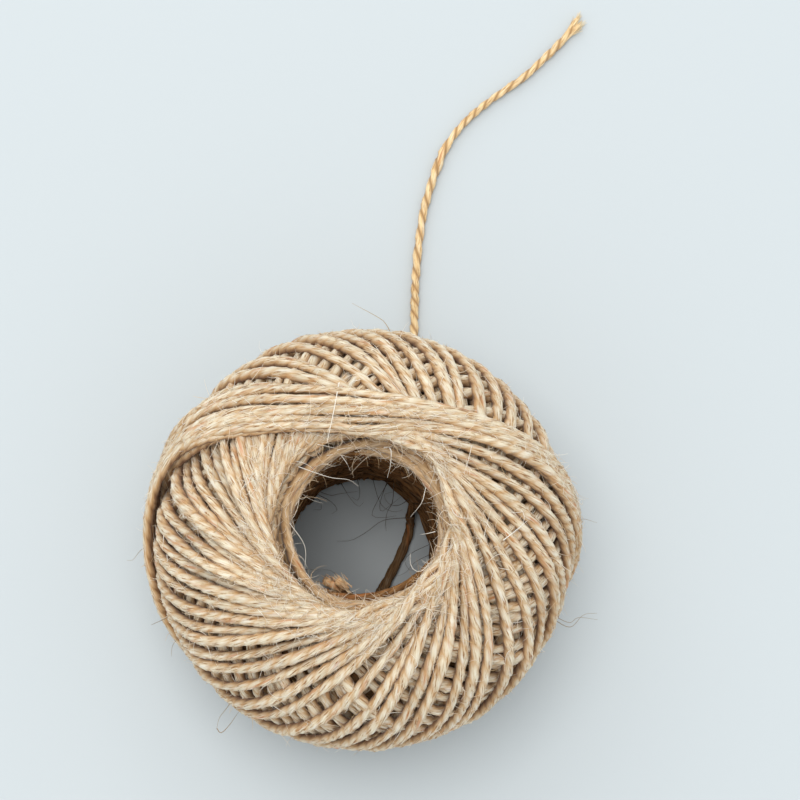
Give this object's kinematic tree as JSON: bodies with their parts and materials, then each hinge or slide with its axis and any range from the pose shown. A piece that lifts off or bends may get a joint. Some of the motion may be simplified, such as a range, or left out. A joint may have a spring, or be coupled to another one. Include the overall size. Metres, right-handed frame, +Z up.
{
  "type": "ball of twine",
  "caption": "Coreless wound ball of two-ply jute twine with an open centre, a finishing band laid across its top and both cut ends loose, for tying and craft work.",
  "frame": {"origin": "centre of the ball's footprint, on the surface that it rests on", "axes": "+Z up along the open centre, +X to the right and +Y away from the viewer of the picture"},
  "size_m": [0.0902, 0.1391, 0.0605],
  "materials": {
    "wound_twine": "matt natural jute, two plies twisted, hairy",
    "loose_twine": "matt natural jute, a little more golden",
    "inner_twine": "matt natural jute, brown in the shade of the hole"
  },
  "bodies": {
    "root": {"wound_ball": "wound_twine", "loose_end": "loose_twine", "inner_end": "inner_twine"}
  },
  "joints": []
}
